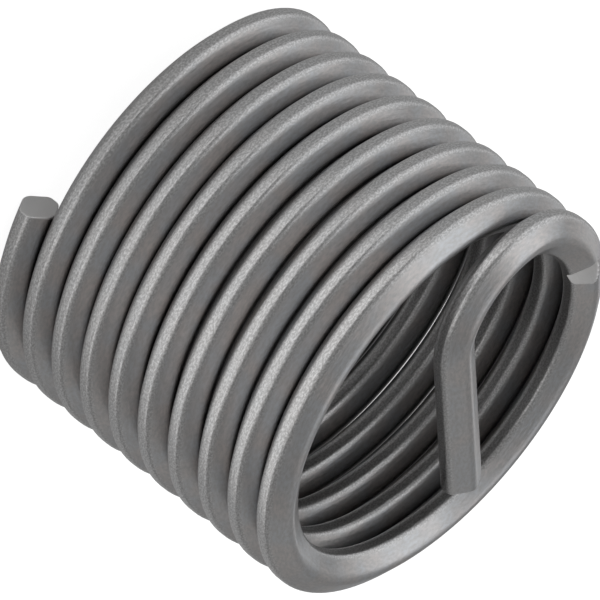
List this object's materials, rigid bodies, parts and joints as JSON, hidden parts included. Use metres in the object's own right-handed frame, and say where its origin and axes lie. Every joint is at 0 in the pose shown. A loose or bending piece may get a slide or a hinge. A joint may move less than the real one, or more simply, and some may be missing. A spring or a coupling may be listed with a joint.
{
  "type": "helical thread insert",
  "caption": "Free-running coiled wire thread insert with a driving tang: an open helical coil of diamond-section steel wire that lines a tapped hole.",
  "frame": {"origin": "on the coil's axis, level with the lowest point of the plain end of the wire", "axes": "+Z along the coil's axis from the plain end to the tang end; -X is the way the tang points across the bore"},
  "size_m": [0.0166, 0.0166, 0.0155],
  "materials": {
    "wire": "satin drawn stainless steel wire, bright on the lands"
  },
  "bodies": {
    "root": {"thread_insert": "wire"}
  },
  "joints": []
}
